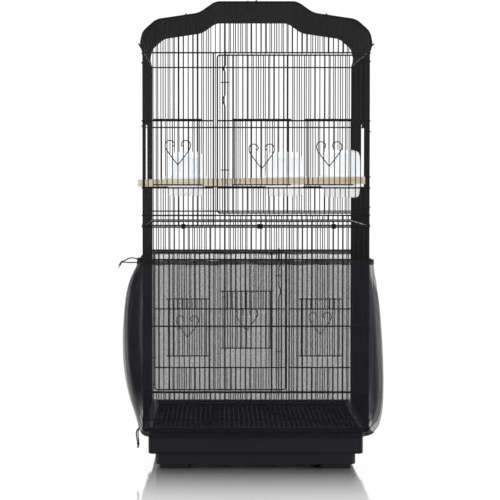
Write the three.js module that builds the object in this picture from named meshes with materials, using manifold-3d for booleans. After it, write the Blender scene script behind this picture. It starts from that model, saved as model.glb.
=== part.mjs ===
// A two-tier wire parakeet cage on its plastic base, with a seed-catching mesh skirt.
// Millimetres, +Z up. The origin is on the ground under the middle of the cage, and -Y is the front.
//
// Every wall is drawn in its own flat frame: u runs to the right for someone looking at the wall
// from outside, z runs up, and local -Y points out of the cage.

import * as THREE from 'three';
import { mergeVertices } from 'three/addons/utils/BufferGeometryUtils.js';
import Module from 'manifold-3d';

const wasm = await Module();
wasm.setup();

// ---------- driving dimensions ----------

const cageWidth = 457; // between the corner wires, side to side
const cageDepth = 356; // between the corner wires, front to back
const wireSize = 2.8; // upright wires; each stands for two thinner ones of the real wall
const sunk = 0.1; // how far a joined piece stays inside the faces of the piece it meets
const railSize = 3; // cross rails and door frames
const weldGap = 0.3; // left between touching pieces
const wirePitch = 20.7; // aimed spacing of the uprights, twice the real one
const thinWire = 2; // lifting doors' uprights, prongs and the roof's foot wires

const footHeight = 9;
const stepTop = 33; // top of the base's lower step
const flangeTop = 84; // the ledge that the wire cage stands on
const lowerTierHeight = 411;
const lowerRailRise = [19.1, 75, 210]; // rails of the lower tier, above its bottom wire
const lowerRailDrop = 65.6; // and its highest one, below its top wire
const tierGap = 3.4; // between the two tiers' facing wires
const upperRailRise = [20.3, 76.1, 211.7]; // rails of the upper tier, above its bottom wire
const upperTierHeight = 348.6;

const roofRise = 101.3; // the roof's flat top above the upper tier's top rail
const roofTopIn = 146.5; // the flat top's end, in from the corner wires
const roofRampIn = 114.5; // where the side slope meets the step up to the flat top
const roofRampRise = 78.7;
const roofCrownIn = 27.5; // where the shoulder meets the slope
const roofCrownRise = 65.7;
const roofFlare = 4.5; // how far the shoulder stands out past the corner wires

const stripWidth = 142.1; // the fixed strip beside a big door
const doorGap = 8.1; // between that strip and the big door
const doorHingeGap = 6.5; // between the big door and the corner post it turns on
const doorClear = 3.4; // above and below the big door
const eyeClear = 0.5; // round the post, inside a hinge eye
const eyeWall = 1.7;
const cornerClear = 6; // room at each corner for the hinge eyes

const flapHeadroom = 14.9; // left over a small door when it is all the way up
const flapLow = 6.2; // small door's bottom bar above the rail under its opening
const flapHigh = 2.4; // small door's top bar above the rail over its opening
const flapLap = 9; // small door past each side of its opening
const prongIn = 3.5; // its prongs, in from the opening's edges
const stripFlapIn = 70.5; // middle of the strip's small door, in from the corner wires
const stripFlapWidth = 99.5;
const middleFlapIn = 29; // small doors of a big door, in from its free edge
const hingeFlapIn = 25; // in from its hinged edge
const flapBetween = 25.8; // and apart
const middleFlapShare = 0.549; // of the width that is left for the two
const heartHeight = 49.4;
const heartHalf = 25.5;
const heartWire = 2.4;

const latchRod = 2.8;
const latchAbove = 3.7; // latch rod's end above the rail over the big door
const latchBelow = 13; // and below the sill
const latchInset = 15.4; // latch rod from the big door's free edge
const latchBend = 4; // finger bends of the rod, towards the strip

const netBulge = 29.5; // skirt's widest stand-off from the corner wires
const netThick = 1.2;

const baseBodyIn = 9; // base's upper body, in from the corner wires
const baseStepIn = 23; // and its lower step
const baseWall = 6.5;
const baseFloor = 2.5;
const trayHeight = 30;
const trayGap = 0.6;
const footSize = 60;
const footInset = 8.5;

const perchSize = 15;
const perchOutLeft = 14.5; // perch's ends past the corner wires
const perchOutRight = 5.5;
const perchTilt = 6; // one end sits this much higher
const perchSlotClear = 0.6;
const perchSlotDeep = 18;

const cupWidth = 92;
const cupDepth = 86;
const cupHeight = 100;
const cupWall = 2;
const cupBelowRail = 21; // cup's floor below the rail that carries it
const cupRim = 4; // how far a cup's rim stands out at its sides
const outerCupIn = 80.5; // middle of the outer back cup, in from the corner wires
const innerCupAt = 72; // middle of the other back cup, right of the cage's middle
const hookWide = 5;

const cordSize = 2;

// ---------- colours ----------

const blackWire = { color: 0x161617, roughness: 0.42, metalness: 0.15 };
const blackPlastic = { color: 0x35353a, roughness: 0.5, metalness: 0 };
const paleWood = { color: 0xb79a76, roughness: 0.75, metalness: 0 };
const milkPlastic = { color: 0xe2e4e6, roughness: 0.35, metalness: 0 };
const blackMesh = { color: 0x202024, roughness: 0.8, metalness: 0 };
const blackCord = { color: 0x101012, roughness: 0.7, metalness: 0 };
const bareSteel = { color: 0x8a8c8f, roughness: 0.35, metalness: 0.9 };

// ---------- heights and layers that follow ----------

const half = cageWidth / 2;
const halfDeep = cageDepth / 2;
const edgeSize = wireSize + 2 * sunk; // wires along the edges of a wall, which the uprights end in
const postSize = edgeSize + sunk; // corner post that a big door turns on
const sideHalf = halfDeep - cornerClear;
const railNear = edgeSize / 2 + weldGap; // the rails lie against the outside of the uprights
const railFar = railNear + railSize;
const flapNear = railFar + weldGap; // and the small doors outside the rails
const flapFar = flapNear + railSize;

const lowerFoot = flangeTop + weldGap + railSize / 2;
const lowerHead = lowerFoot + lowerTierHeight;
const upperFoot = lowerHead + tierGap;
const upperHead = upperFoot + upperTierHeight;
const lowerRails = [...lowerRailRise.map((rise) => lowerFoot + rise), lowerHead - lowerRailDrop];
const upperRails = upperRailRise.map((rise) => upperFoot + rise);

const lowerTier = { foot: lowerFoot, head: lowerHead, sill: lowerRails[0], low: lowerRails[1],
  high: lowerRails[2], lintel: lowerRails[3], rails: lowerRails };
const upperTier = { foot: upperFoot, head: upperHead, sill: upperRails[0], low: upperRails[1],
  high: upperRails[2], lintel: upperHead, rails: upperRails };

// ---------- solids ----------

function toSolid(geometry) {
  const plain = geometry.clone();
  plain.deleteAttribute('normal');
  plain.deleteAttribute('uv');
  const welded = mergeVertices(plain, 1e-5);
  return new wasm.Manifold(new wasm.Mesh({
    numProp: 3,
    vertProperties: new Float32Array(welded.attributes.position.array),
    triVerts: new Uint32Array(welded.index.array),
  }));
}

function toGeometry(solid) {
  const mesh = solid.asOriginal().getMesh();
  const geometry = new THREE.BufferGeometry();
  geometry.setAttribute('position', new THREE.BufferAttribute(mesh.vertProperties, 3));
  geometry.setIndex(new THREE.BufferAttribute(mesh.triVerts, 1));
  geometry.computeVertexNormals();
  return geometry;
}

function join(solids) {
  return solids.reduce((whole, solid) => whole.add(solid));
}

// A block between two corners, given as x, y and z spans.
function block([x0, x1], [y0, y1], [z0, z1]) {
  const geometry = new THREE.BoxGeometry(x1 - x0, y1 - y0, z1 - z0);
  geometry.translate((x0 + x1) / 2, (y0 + y1) / 2, (z0 + z1) / 2);
  return toSolid(geometry);
}

const around = (middle, size) => [middle - size / 2, middle + size / 2];

// A flat outline in u and z, given a thickness along local Y.
function plate(points, [y0, y1]) {
  const shape = new THREE.Shape(points.map(([u, z]) => new THREE.Vector2(u, z)));
  const geometry = new THREE.ExtrudeGeometry(shape, { depth: y1 - y0, bevelEnabled: false });
  geometry.rotateX(Math.PI / 2);
  geometry.translate(0, y1, 0);
  return toSolid(geometry);
}

function roundedRectangle(halfX, halfY, radius, segments = 3) {
  const points = [];
  for (const [sx, sy, turn] of [[1, 1, 0], [-1, 1, 1], [-1, -1, 2], [1, -1, 3]]) {
    for (let i = 0; i <= segments; i++) {
      const angle = (turn + i / segments) * Math.PI / 2;
      points.push([sx * (halfX - radius) + radius * Math.cos(angle),
        sy * (halfY - radius) + radius * Math.sin(angle)]);
    }
  }
  return points;
}

// An upright prism with rounded corners.
function prism(halfX, halfY, radius, [z0, z1]) {
  const shape = new THREE.Shape(roundedRectangle(halfX, halfY, radius)
    .map(([x, y]) => new THREE.Vector2(x, y)));
  const geometry = new THREE.ExtrudeGeometry(shape, { depth: z1 - z0, bevelEnabled: false });
  geometry.translate(0, 0, z0);
  return toSolid(geometry);
}

// A tube of eight sides along hand-set points.
function tube(points, size, steps) {
  const curve = new THREE.CatmullRomCurve3(points.map((p) => new THREE.Vector3(...p)));
  const section = new THREE.Shape();
  section.absarc(0, 0, size / 2, 0, 2 * Math.PI);
  return new THREE.ExtrudeGeometry(section, { steps, extrudePath: curve, curveSegments: 4 });
}

// ---------- placing ----------

const cage = new THREE.Group();

const walls = {
  front: { turn: 0, at: [0, -halfDeep, 0] },
  back: { turn: Math.PI, at: [0, halfDeep, 0] },
  left: { turn: -Math.PI / 2, at: [-half, 0, 0] },
  right: { turn: Math.PI / 2, at: [half, 0, 0] },
};

for (const wall of Object.values(walls)) {
  wall.group = new THREE.Group();
  wall.group.rotation.z = wall.turn;
  wall.group.position.set(...wall.at);
  cage.add(wall.group);
}

function place(name, geometry, look, parent = cage) {
  const mesh = new THREE.Mesh(geometry, new THREE.MeshStandardMaterial(look));
  mesh.name = name;
  parent.add(mesh);
  return mesh;
}

// ---------- wire walls ----------

function spread(from, to) {
  const intervals = Math.round((to - from) / wirePitch);
  return Array.from({ length: intervals + 1 }, (_, i) => from + (to - from) * i / intervals);
}

const inPlane = around(0, edgeSize);
const inRails = [-railFar, -railNear];

const upright = (u, from, to, size = wireSize) => block(around(u, size), around(0, size), [from, to]);
const crossWire = (z, from, to) => block([from, to], inPlane, around(z, edgeSize));
const rail = (z, from, to) => block([from, to], inRails, around(z, railSize));
const post = (u, from, to) =>
  block(around(u, railSize - 2 * sunk), [sunk - railFar, -railNear - sunk], [from, to]);

// The edge uprights of the hole behind a small door.
const holeBehind = (flap) => around(flap.middle, flap.width - 2 * flapLap);

// The nearest that an evenly spread upright stands to a hole's edge, which leaves a prong room.
const edgeRoom = Math.max(wirePitch / 3, prongIn + (thinWire + wireSize) / 2 + weldGap);

// Evenly spread uprights, moved aside where the edges of a hole have their own.
function withHoleEdges(uprights, flaps) {
  const edges = flaps.flatMap(holeBehind);
  const clear = uprights.filter((u) => edges.every((edge) => Math.abs(u - edge) > edgeRoom));
  return [...clear, ...edges].toSorted((a, b) => a - b);
}

const level = (z) => () => z; // a head at one height for every upright

// Uprights from foot to head, left out between two rails where a small door covers a hole.
function uprightsWithHoles(uprights, foot, head, flaps, tier) {
  const holes = flaps.map(holeBehind);
  return withHoleEdges(uprights, flaps).flatMap((u) => {
    const top = head(u);
    if (!holes.some(([from, to]) => u > from && u < to)) return [upright(u, foot, top)];
    return [upright(u, foot, tier.low + railSize / 2), upright(u, tier.high - railSize / 2, top)];
  });
}

// Rails joined by a post at each end.
function railFrame(tier, ends, heights) {
  const [from, to] = ends;
  return join([
    ...heights.map((z) => rail(z, from - railSize / 2, to + railSize / 2)),
    ...ends.map((u) => post(u, tier.foot, heights.at(-1))),
  ]);
}

// ---------- roof outline ----------

const kinkRise = 17;
const shoulderRise = 41.7;
const roofTopHalf = half - roofTopIn;

function roofSide(foot) {
  return [
    [half, foot],
    [half + roofFlare, upperHead + kinkRise],
    [half - 0.5, upperHead + shoulderRise],
    [half - roofCrownIn, upperHead + roofCrownRise],
    [half - roofRampIn, upperHead + roofRampRise],
    [roofTopHalf, upperHead + roofRise],
  ];
}

function roofLine(foot) {
  const right = roofSide(foot);
  return [...right, ...right.toReversed().map(([u, z]) => [-u, z])];
}

// Height of the roof line above a point of the wall.
function roofHeight(u) {
  const side = roofSide(upperHead).filter(([x]) => x <= half);
  const distance = Math.abs(u);
  if (distance <= roofTopHalf) return upperHead + roofRise;
  for (let i = 1; i < side.length; i++) {
    const [[x0, z0], [x1, z1]] = [side[i], side[i - 1]];
    if (distance >= x0 && distance <= x1) return z0 + (z1 - z0) * (distance - x0) / (x1 - x0);
  }
  return side[0][1];
}

// The roof line as a ribbon, from one offset to another along its outward normal.
function roofRibbon(foot, inner, outer) {
  const line = roofLine(foot);
  const offset = (distance) => line.map(([u, z], i) => {
    const [before, after] = [line[Math.max(i - 1, 0)], line[Math.min(i + 1, line.length - 1)]];
    const [du, dz] = [after[0] - before[0], after[1] - before[1]];
    const length = Math.hypot(du, dz);
    const level = i === 0 || i === line.length - 1;
    const normal = level ? [Math.sign(u), 0] : [dz / length, -du / length];
    return [u + normal[0] * distance, z + normal[1] * distance];
  });
  return [...offset(outer), ...offset(inner).toReversed()];
}

// ---------- big door walls ----------

const stripEnd = -half + stripWidth;
const doorFrom = stripEnd + doorGap;
const doorTo = half - doorHingeGap;

const stripUprights = spread(-half, stripEnd);
const doorUprights = spread(doorFrom, doorTo);
const wallUprights = spread(-half, half);
const sideUprights = spread(-sideHalf + edgeSize / 2 + sunk, sideHalf - edgeSize / 2 - sunk);

const flapRoom = doorTo - doorFrom - middleFlapIn - flapBetween - hingeFlapIn;
const middleFlapWidth = middleFlapShare * flapRoom;
const hingeFlapWidth = flapRoom - middleFlapWidth;
const stripFlap = { middle: stripFlapIn - half, width: stripFlapWidth };
const middleFlap = { middle: doorFrom + middleFlapIn + middleFlapWidth / 2, width: middleFlapWidth };
const hingeFlap = { middle: doorTo - hingeFlapIn - hingeFlapWidth / 2, width: hingeFlapWidth };
const flapTravel = upperTier.lintel - upperTier.high - flapHeadroom;

// The fixed part of a wall that holds a big door: strip, sill, lintel and hinge post. Wires of
// neighbouring parts lie a gap apart.
function doorWallParts(tier, heads) {
  const beside = wallUprights.filter((u) => u > stripEnd + wirePitch / 3 && u < half - 1);
  const open = [stripEnd + edgeSize / 2 + weldGap, half - postSize / 2 - weldGap];
  const stripTo = stripEnd + edgeSize / 2;
  const highWire = tier.head > tier.lintel ? [tier.head] : [];
  return {
    strip: [
      crossWire(tier.foot, -half - edgeSize / 2, stripTo),
      crossWire(tier.head, -half + edgeSize / 2 + weldGap, stripTo),
      ...uprightsWithHoles(stripUprights, tier.foot, heads.strip, [stripFlap], tier),
    ],
    sill: [
      ...[tier.foot, tier.sill].map((z) => crossWire(z, ...open)),
      ...beside.map((u) => upright(u, tier.foot, tier.sill)),
    ],
    lintel: [
      ...[tier.lintel, ...highWire].map((z) => crossWire(z, ...open)),
      ...beside.map((u) => upright(u, tier.lintel, heads.lintel(u))),
    ],
    post: [upright(half, tier.foot, heads.post, postSize)],
  };
}

function doorWallRails(tier) {
  const [left, right] = around(0, cageWidth + railSize);
  return join([
    rail(tier.foot, left, right),
    rail(tier.sill, left, right),
    rail(tier.lintel, left, right),
    ...(tier.head > tier.lintel ? [rail(tier.head, left, right)] : []),
    rail(tier.low, left, stripEnd + railSize / 2),
    rail(tier.high, left, stripEnd + railSize / 2),
    post(-half, tier.foot, tier.head),
    post(stripEnd, tier.sill, tier.lintel),
    post(half, tier.foot, tier.sill),
    ...(tier.head > tier.lintel ? [post(half, tier.lintel, tier.head)] : []),
  ]);
}

const latchAt = doorFrom + latchInset;
const stapleWide = 16;

// A staple that guides the latch rod, standing on a short cross wire at the door's free edge.
function latchStaple(z) {
  const front = flapNear + latchRod + weldGap + 0.8;
  const ends = around(latchAt, stapleWide - thinWire);
  return join([
    crossWire(z, doorFrom, latchAt + latchInset),
    ...ends.map((u) => block(around(u, thinWire), [-front - thinWire / 2, 0], around(z, thinWire))),
    block(around(latchAt, stapleWide + 2 * sunk), [-front - thinWire, -front],
      around(z, thinWire + 2 * sunk)),
  ]);
}

const stapleHeights = (tier) => [tier.low + 36, tier.lintel - 60];

function bigDoorWires(tier) {
  const [foot, head] = [tier.sill + doorClear, tier.lintel - doorClear];
  return join([
    crossWire(foot, doorFrom - edgeSize / 2, doorTo + edgeSize / 2),
    crossWire(head, doorFrom - edgeSize / 2, doorTo + edgeSize / 2),
    ...uprightsWithHoles(doorUprights, foot, level(head), [middleFlap, hingeFlap], tier),
    ...stapleHeights(tier).map(latchStaple),
  ]);
}

// A hinge eye round the corner post, with the arm that carries it.
const eyeBore = postSize / Math.SQRT2 + eyeClear;

function hingeEye(z) {
  const ring = (radius) => {
    const geometry = new THREE.CylinderGeometry(radius, radius, railSize - 2 * sunk, 8);
    geometry.rotateX(Math.PI / 2);
    geometry.translate(half, 0, z);
    return geometry;
  };
  const bore = new THREE.CylinderGeometry(eyeBore, eyeBore, 2 * railSize, 8);
  bore.rotateX(Math.PI / 2);
  bore.translate(half, 0, z);
  const arm = block([doorTo - 1, half - eyeBore - 0.5], [0.5 - railFar, -railNear - 2 * sunk],
    around(z, railSize - 4 * sunk));
  return toSolid(ring(eyeBore + eyeWall)).add(arm).subtract(toSolid(bore));
}

function bigDoorFrame(tier) {
  const [foot, head] = [tier.sill + doorClear + 1, tier.lintel - doorClear - 1];
  const ends = [doorFrom, doorTo];
  const rails = [foot, tier.low, tier.high, head]
    .map((z) => rail(z, doorFrom - railSize / 2, doorTo + railSize / 2));
  const eyes = [foot + 12, tier.low + 22, tier.high - 22, head - 12].map(hingeEye);
  return join([...rails, ...ends.map((u) => post(u, foot, head)), ...eyes]);
}

// The latch rod stands in front of the big door, with two finger bends near its top.
function latchRodSolid(tier) {
  const [bottom, top] = [tier.sill - latchBelow, tier.lintel + latchAbove];
  const bends = [[-107, 0], [-99, 1], [-92, 1], [-85, 0], [-38, 0], [-34, 1], [-30, 1], [-26, 0]];
  const route = [[0, bottom], ...bends.map(([z, out]) => [-out * latchBend, tier.lintel + z]), [0, top]];
  const side = (offset) => route.map(([u, z]) => [latchAt + u + offset, z]);
  return plate([...side(-latchRod / 2), ...side(latchRod / 2).toReversed()],
    [-flapNear - latchRod, -flapNear]);
}

// ---------- small lifting doors ----------

// Half a heart from its point up and round to the curled end.
const heartSide = [[0, 0], [0.94, 0.63], [1, 0.82], [0.86, 0.96], [0.62, 1], [0.36, 0.95],
  [0.27, 0.85], [0.39, 0.77]];

function heart(middle, foot, yRange) {
  const side = heartSide.map(([u, z]) => [u * heartHalf, z * heartHeight]);
  const line = [...side.toReversed().map(([u, z]) => [-u, z]), ...side.slice(1)];
  const offset = (distance) => line.map(([u, z], i) => {
    const [before, after] = [line[Math.max(i - 1, 0)], line[Math.min(i + 1, line.length - 1)]];
    const [du, dz] = [after[0] - before[0], after[1] - before[1]];
    const length = Math.hypot(du, dz);
    return [middle + u - dz / length * distance, foot + z + du / length * distance];
  });
  const wide = heartWire / 2;
  return plate([...offset(-wide), ...offset(wide).toReversed()], yRange);
}

// Two bars, uprights, a heart on some, and four prongs that run between the wall's wires.
function liftingDoor(flap, tier, raised, heartDrop) {
  const bottom = tier.low + flapLow + raised;
  const top = tier.high + flapHigh + raised;
  const [from, to] = around(flap.middle, flap.width);
  const inset = 5;
  const inFlap = [-flapNear - 2 * sunk - thinWire, -flapNear - 2 * sunk];
  const prongRise = (railSize - thinWire) / 2 - sunk;
  const prongs = holeBehind(flap).flatMap((edge) => [bottom, top + prongRise].map((z) => {
    const u = edge + Math.sign(flap.middle - edge) * prongIn;
    return block(around(u, thinWire), [-flapNear - thinWire, wireSize / 2], around(z, thinWire));
  }));
  return join([
    ...[bottom, top].map((z) => block([from, to], [-flapFar, -flapNear], around(z, railSize))),
    ...spread(from + inset, to - inset)
      .map((u) => block(around(u, thinWire), inFlap, [bottom, top])),
    ...prongs,
    ...(heartDrop ? [heart(flap.middle, top - heartDrop, inFlap.map((y) => y - 2 * sunk))] : []),
  ]);
}

// ---------- walls ----------

const gabled = (u) => roofHeight(u) - weldGap;
const gableFoot = upperHead - 1;
const gable = plate(roofRibbon(gableFoot, -wireSize / 2, wireSize / 2),
  around(0, edgeSize - sunk));
const underGable = (u) => (Math.abs(u) > half - 1 ? gableFoot - weldGap : roofHeight(u) - 4);

function placeDoorWall(tierName, parts, wall) {
  for (const [name, solids] of [['strip_wires', parts.strip], ['sill_wires', parts.sill],
    ['lintel_wires', parts.lintel], ['hinge_post', parts.post]]) {
    place(`${tierName}_${name}`, toGeometry(join(solids)), blackWire, wall.group);
  }
}

const frontParts = doorWallParts(upperTier,
  { strip: underGable, lintel: gabled, post: gableFoot - weldGap });
placeDoorWall('upper', { ...frontParts, lintel: [...frontParts.lintel, gable] }, walls.front);
place('upper_front_rails', toGeometry(doorWallRails(upperTier)), blackWire, walls.front.group);

placeDoorWall('lower', doorWallParts(lowerTier,
  { strip: level(lowerHead), lintel: level(lowerHead), post: lowerHead }), walls.back);
place('lower_back_rails', toGeometry(doorWallRails(lowerTier)), blackWire, walls.back.group);

place('upper_back_wires', toGeometry(join([
  crossWire(upperFoot, -half - edgeSize / 2, half + edgeSize / 2),
  ...uprightsWithHoles(wallUprights, upperFoot, gabled, [], upperTier),
  gable,
])), blackWire, walls.back.group);
place('upper_back_rails', toGeometry(railFrame(upperTier, [-half, half],
  [upperFoot, ...upperRails, upperHead])), blackWire, walls.back.group);

place('lower_front_wires', toGeometry(join([
  crossWire(lowerFoot, -half - edgeSize / 2, half + edgeSize / 2),
  crossWire(lowerHead, -half - edgeSize / 2, half + edgeSize / 2),
  ...uprightsWithHoles(wallUprights, lowerFoot, level(lowerHead), [], lowerTier),
])), blackWire, walls.front.group);
place('lower_front_rails', toGeometry(railFrame(lowerTier, [-half, half],
  [lowerFoot, ...lowerRails, lowerHead])), blackWire, walls.front.group);

const sideHead = upperHead - railSize / 2;
const sideEnds = [-sideHalf + railSize / 2, sideHalf - railSize / 2];
const nestFlap = { middle: -46, width: 106 }; // as seen on the right-hand wall

function sideWires(foot, head, flaps) {
  return toGeometry(join([
    crossWire(foot, -sideHalf, sideHalf),
    crossWire(head, -sideHalf, sideHalf),
    ...uprightsWithHoles(sideUprights, foot, level(head), flaps, upperTier),
  ]));
}

for (const [side, mirror] of [['left', -1], ['right', 1]]) {
  const { group } = walls[side];
  const flap = { ...nestFlap, middle: mirror * nestFlap.middle };
  place(`upper_${side}_wires`, sideWires(upperFoot, sideHead, [flap]), blackWire, group);
  place(`upper_${side}_rails`, toGeometry(railFrame(upperTier, sideEnds,
    [upperFoot, ...upperRails, sideHead])), blackWire, group);
  place(`lower_${side}_wires`, sideWires(lowerFoot, lowerHead, []), blackWire, group);
  place(`lower_${side}_rails`, toGeometry(railFrame(lowerTier, sideEnds,
    [lowerFoot, ...lowerRails, lowerHead])), blackWire, group);
  place(`${side}_nest_door`, toGeometry(liftingDoor(flap, upperTier, flapTravel, 0)),
    blackWire, group);
}

// ---------- big doors, latches and small doors ----------

// Each small door's height at rest, and its heart's point below its top bar.
for (const [name, tier, group, raised, heartDrops] of [
  ['upper', upperTier, walls.front.group, [0, 0, 0], [91.5, 99, 94.3]],
  ['lower', lowerTier, walls.back.group, [20, 38, 20], [80.6, 90.7, 88]],
]) {
  place(`${name}_door_wires`, toGeometry(bigDoorWires(tier)), blackWire, group);
  place(`${name}_door_frame`, toGeometry(bigDoorFrame(tier)), blackWire, group);
  place(`${name}_latch_rod`, toGeometry(latchRodSolid(tier)), blackWire, group);
  [['strip', stripFlap], ['middle', middleFlap], ['hinge', hingeFlap]].forEach(([spot, flap], i) => {
    place(`${name}_${spot}_flap`, toGeometry(liftingDoor(flap, tier, raised[i], heartDrops[i])),
      blackWire, group);
  });
}

// ---------- roof ----------

const roofFoot = sideHead + railSize / 2 + 1;

// The bent wires that run across the cage, standing on a foot wire along each side.
const roofArcs = sideUprights.slice(1, -1).map((y) =>
  plate(roofRibbon(roofFoot, -wireSize / 2, wireSize / 2), around(y, wireSize)));
const roofFeet = [-half, half].map((x) =>
  block(around(x, edgeSize), [-sideHalf, sideHalf], [roofFoot - weldGap, roofFoot + thinWire]));
place('roof_wires', toGeometry(join([...roofArcs, ...roofFeet])), blackWire);

// Five rods along the depth lie on the bent wires and end in an edge wire at the front and back.
const rodEnd = halfDeep + railFar + 2;
const rodLift = wireSize / 2 + weldGap + 0.4;
const slopeRodAt = half - 87;
const rodSpots = [
  [0, upperHead + roofRise + rodLift + railSize / 2],
  ...[-slopeRodAt, slopeRodAt].map((x) => [x, roofHeight(x) + rodLift + railSize / 2]),
  ...[-1, 1].map((side) => [side * (half + roofFlare + rodLift + railSize / 2),
    upperHead + kinkRise]),
];
const roofRods = rodSpots.map(([x, z]) =>
  block(around(x, railSize), [-rodEnd, rodEnd], around(z, railSize)));
const roofEdges = [-halfDeep - railFar, halfDeep + railNear].map((y) =>
  plate(roofRibbon(upperHead + railSize / 2 + weldGap, 0, railSize + 0.6), [y, y + railSize]));
place('roof_frame', toGeometry(join([...roofEdges, ...roofRods])), blackWire);

// The loop that the cage is lifted or hung by stands on the middle of the roof.
const loopHigh = 26;
const loopWide = 9.5;
const loopWire = 2;
const loopFoot = upperHead + roofRise + wireSize / 2 + weldGap;
const loopOutline = (inset) => roundedRectangle(loopWide / 2 - inset, loopHigh / 2 - inset,
  loopWide / 2 - inset - 0.4, 3).map(([x, z]) => [x - 13.3, z + loopFoot + loopHigh / 2]);
place('hanging_loop', toGeometry(plate(loopOutline(0), around(0, loopWire))
  .subtract(plate(loopOutline(loopWire), around(0, 2 * loopWire)))), bareSteel);

// ---------- clips that hold the two tiers together ----------

const clipWide = 8;
const clipSheet = 1.5;

function tierClip(u, wide) {
  const [bottom, top] = [lowerHead - railSize / 2 - weldGap, upperFoot + railSize / 2 + weldGap];
  const plateDepth = [-flapNear - clipSheet, -flapNear];
  const lipDepth = [-flapNear, -railNear - weldGap];
  return join([
    block(around(u, wide), plateDepth, [bottom - clipSheet, top + clipSheet]),
    block(around(u, wide), lipDepth, [bottom - clipSheet, bottom]),
    block(around(u, wide), lipDepth, [top, top + clipSheet]),
  ]);
}

for (const [spot, u, wide] of [['left', -147, clipWide], ['middle', 8, clipWide + 3],
  ['right', 157, clipWide]]) {
  place(`front_clip_${spot}`, toGeometry(tierClip(u, wide)), blackWire, walls.front.group);
}

// ---------- base, feet, grate and tray ----------

const baseBodyHalf = half - baseBodyIn;
const baseStepHalf = half - baseStepIn;
const bodyDeep = halfDeep - baseBodyIn;
const stepDeep = halfDeep - baseStepIn;
const innerHalf = baseBodyHalf - baseWall;
const innerDeep = bodyDeep - baseWall;
const floorTop = stepTop + baseFloor;
const slotTop = floorTop + trayHeight + 2 * trayGap;
const lipTop = flangeTop + 3;
const ledgeTop = slotTop + 5;
const cornerBlock = footSize + footInset + 4;

const baseOutside = join([
  prism(baseStepHalf, stepDeep, 9, [footHeight, stepTop + 1]),
  prism(baseBodyHalf, bodyDeep, 6.5, [stepTop, flangeTop]),
  prism(half + 2.5, halfDeep + 2.5, 9, [flangeTop - 4, flangeTop]),
  prism(baseBodyHalf, bodyDeep, 6.5, [flangeTop - 1, lipTop])
    .subtract(prism(baseBodyHalf - 3, bodyDeep - 3, 4, [flangeTop - 1, lipTop + 1])),
]);
const baseHollows = join([
  prism(innerHalf, innerDeep, 4, [floorTop, lipTop + 2]),
  block([-innerHalf, innerHalf], [-bodyDeep - 5, 0], [floorTop, slotTop]),
  block([cornerBlock - baseStepHalf, baseStepHalf - cornerBlock], [8 - stepDeep, stepDeep - 8],
    [footHeight - 1, stepTop]),
  block([8 - baseStepHalf, baseStepHalf - 8], [cornerBlock - stepDeep, stepDeep - cornerBlock],
    [footHeight - 1, stepTop]),
]);
const grateLedges = [-1, 1].map((side) =>
  block([Math.min(side * (innerHalf + 1), side * (innerHalf - 5)),
    Math.max(side * (innerHalf + 1), side * (innerHalf - 5))],
  [-innerDeep + 6, innerDeep - 6], [ledgeTop - 2, ledgeTop]));
place('base_housing', toGeometry(join([baseOutside.subtract(baseHollows), ...grateLedges])),
  blackPlastic);

for (const [name, sx, sy] of [['front_left', -1, -1], ['front_right', 1, -1],
  ['back_left', -1, 1], ['back_right', 1, 1]]) {
  const foot = prism(footSize / 2, footSize / 2, 3, [0, footHeight - weldGap]);
  const mesh = place(`foot_${name}`, toGeometry(foot), blackPlastic);
  mesh.position.set(sx * (baseStepHalf - footInset - footSize / 2),
    sy * (stepDeep - footInset - footSize / 2), 0);
}

const grateHalf = innerHalf - 3 * trayGap;
const grateDeep = innerDeep - 3 * trayGap;
const grateAt = ledgeTop + weldGap + wireSize / 2 + sunk;
const gratePitch = 32;
const grateWires = Math.round(2 * grateHalf / gratePitch);
place('bottom_grate', toGeometry(join([
  ...[-1, 1].map((side) => block([-grateHalf, grateHalf],
    around(side * (grateDeep - railSize / 2), railSize), around(grateAt, wireSize + 2 * sunk))),
  ...Array.from({ length: grateWires + 1 }, (_, i) => block(
    around((grateHalf - railSize / 2) * (2 * i / grateWires - 1), wireSize),
    [1 - grateDeep, grateDeep - 1], around(grateAt, wireSize))),
])), blackWire);

const trayWall = 2.2;
const trayHalf = innerHalf - 5;
const trayBack = innerDeep - 2;
const trayFront = -bodyDeep + 2.5;
const trayPan = block([-trayHalf, trayHalf], [trayFront - 0.5, trayBack],
  [floorTop + trayGap, floorTop + trayHeight - 4])
  .subtract(block([trayWall - trayHalf, trayHalf - trayWall], [trayFront, trayBack - trayWall],
    [floorTop + trayGap + trayWall, slotTop + 5]));
const trayFace = block([trayGap - innerHalf, innerHalf - trayGap], [-bodyDeep, trayFront],
  [floorTop + trayGap, slotTop - trayGap]);
place('seed_tray', toGeometry(trayPan.add(trayFace)), blackPlastic);

// ---------- perch ----------

const perchLimit = nestFlap.middle - cupWidth / 2 - cupRim - perchSize / 2 - 1;
const perchY = sideUprights.findLast((y) => y < perchLimit); // just in front of the side cup
const perchMiddle = (perchOutRight - perchOutLeft) / 2;
const perchLength = cageWidth + perchOutLeft + perchOutRight;
const perchSlot = wireSize + perchSlotClear;
const slotCut = (side) => block(
  side < 0 ? [-perchLength / 2 - 1, -perchLength / 2 + perchSlotDeep]
    : [perchLength / 2 - perchSlotDeep, perchLength / 2 + 1],
  around(0, perchSlot), [-perchSize, perchSize]);
const perch = place('perch', toGeometry(block(around(0, perchLength), around(0, perchSize),
  around(0, perchSize)).subtract(slotCut(-1)).subtract(slotCut(1))), paleWood);
perch.rotation.y = -Math.asin(perchTilt / perchLength);
perch.position.set(perchMiddle, perchY,
  upperRails[1] + railSize / 2 + weldGap + perchSize / 2 + perchTilt / 2);

// ---------- hooded feeder cups ----------

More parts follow.
